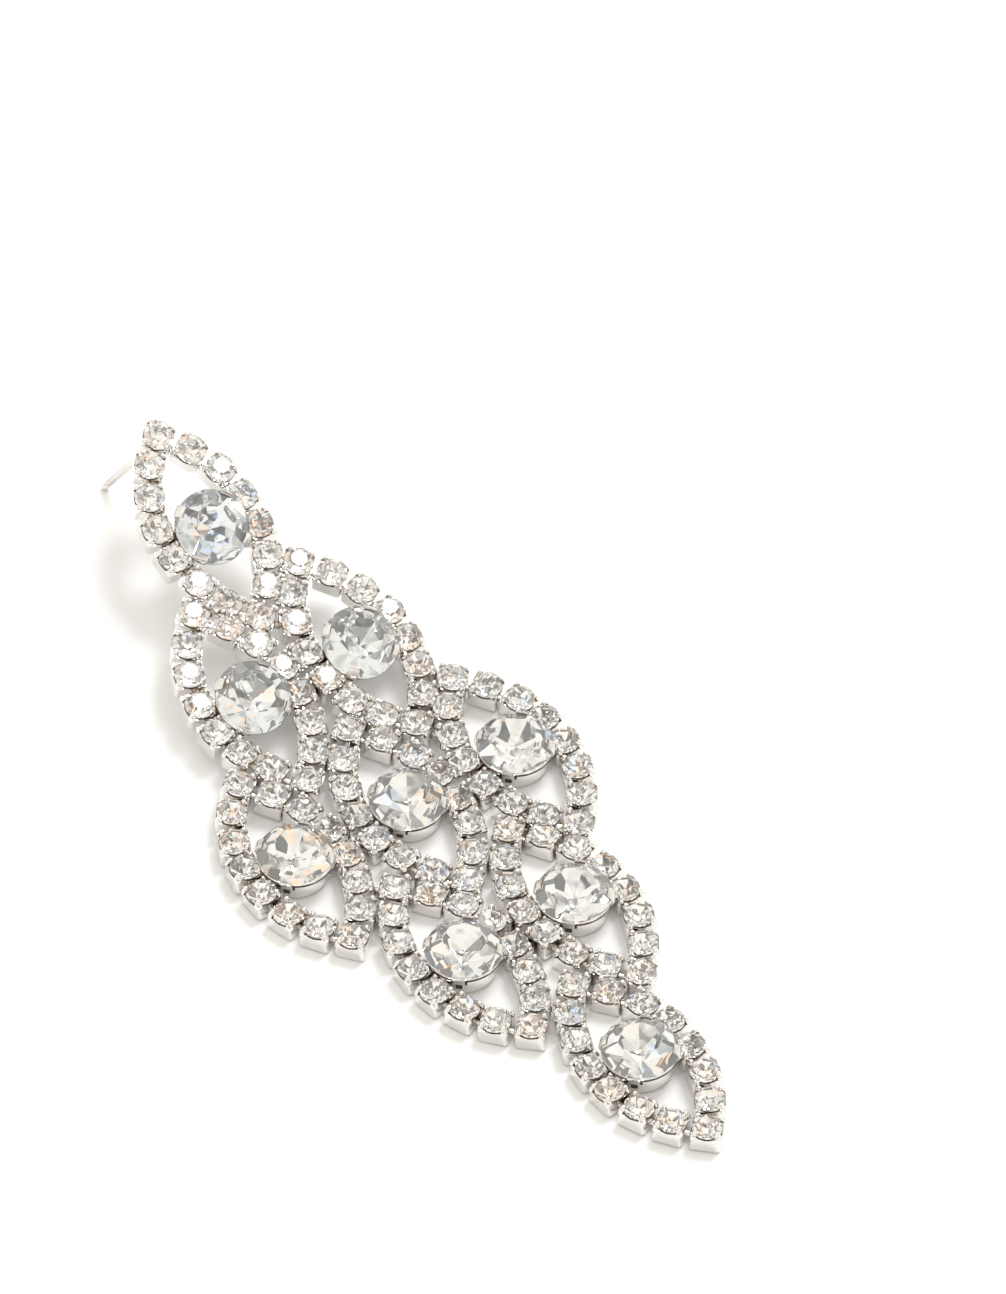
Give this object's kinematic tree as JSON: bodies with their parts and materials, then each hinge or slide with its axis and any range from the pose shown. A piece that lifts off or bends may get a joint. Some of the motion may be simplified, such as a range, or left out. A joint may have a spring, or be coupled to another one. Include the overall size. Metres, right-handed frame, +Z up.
{
  "type": "drop earring",
  "caption": "Lattice of leaf-shaped loops of small square-set crystals, each round one large round stone, with a straight ear post.",
  "frame": {"origin": "middle of the footprint, on the surface that the earring lies on", "axes": "+X across the earring, +Y along it towards the ear end, +Z up, out of the stones' side"},
  "size_m": [0.0414, 0.112, 0.013],
  "materials": {
    "plated_metal": "bright rhodium-coloured plating over soldered metal",
    "crystal": "clear cut crystal with a silvered back"
  },
  "bodies": {
    "root": {"soldered_lattice": "plated_metal", "stone_1": "crystal", "stone_2_left": "crystal", "stone_2_right": "crystal", "stone_3_left": "crystal", "stone_3_centre": "crystal", "stone_3_right": "crystal", "stone_4_left": "crystal", "stone_4_right": "crystal", "stone_5": "crystal", "ear_post": "plated_metal"}
  },
  "joints": []
}
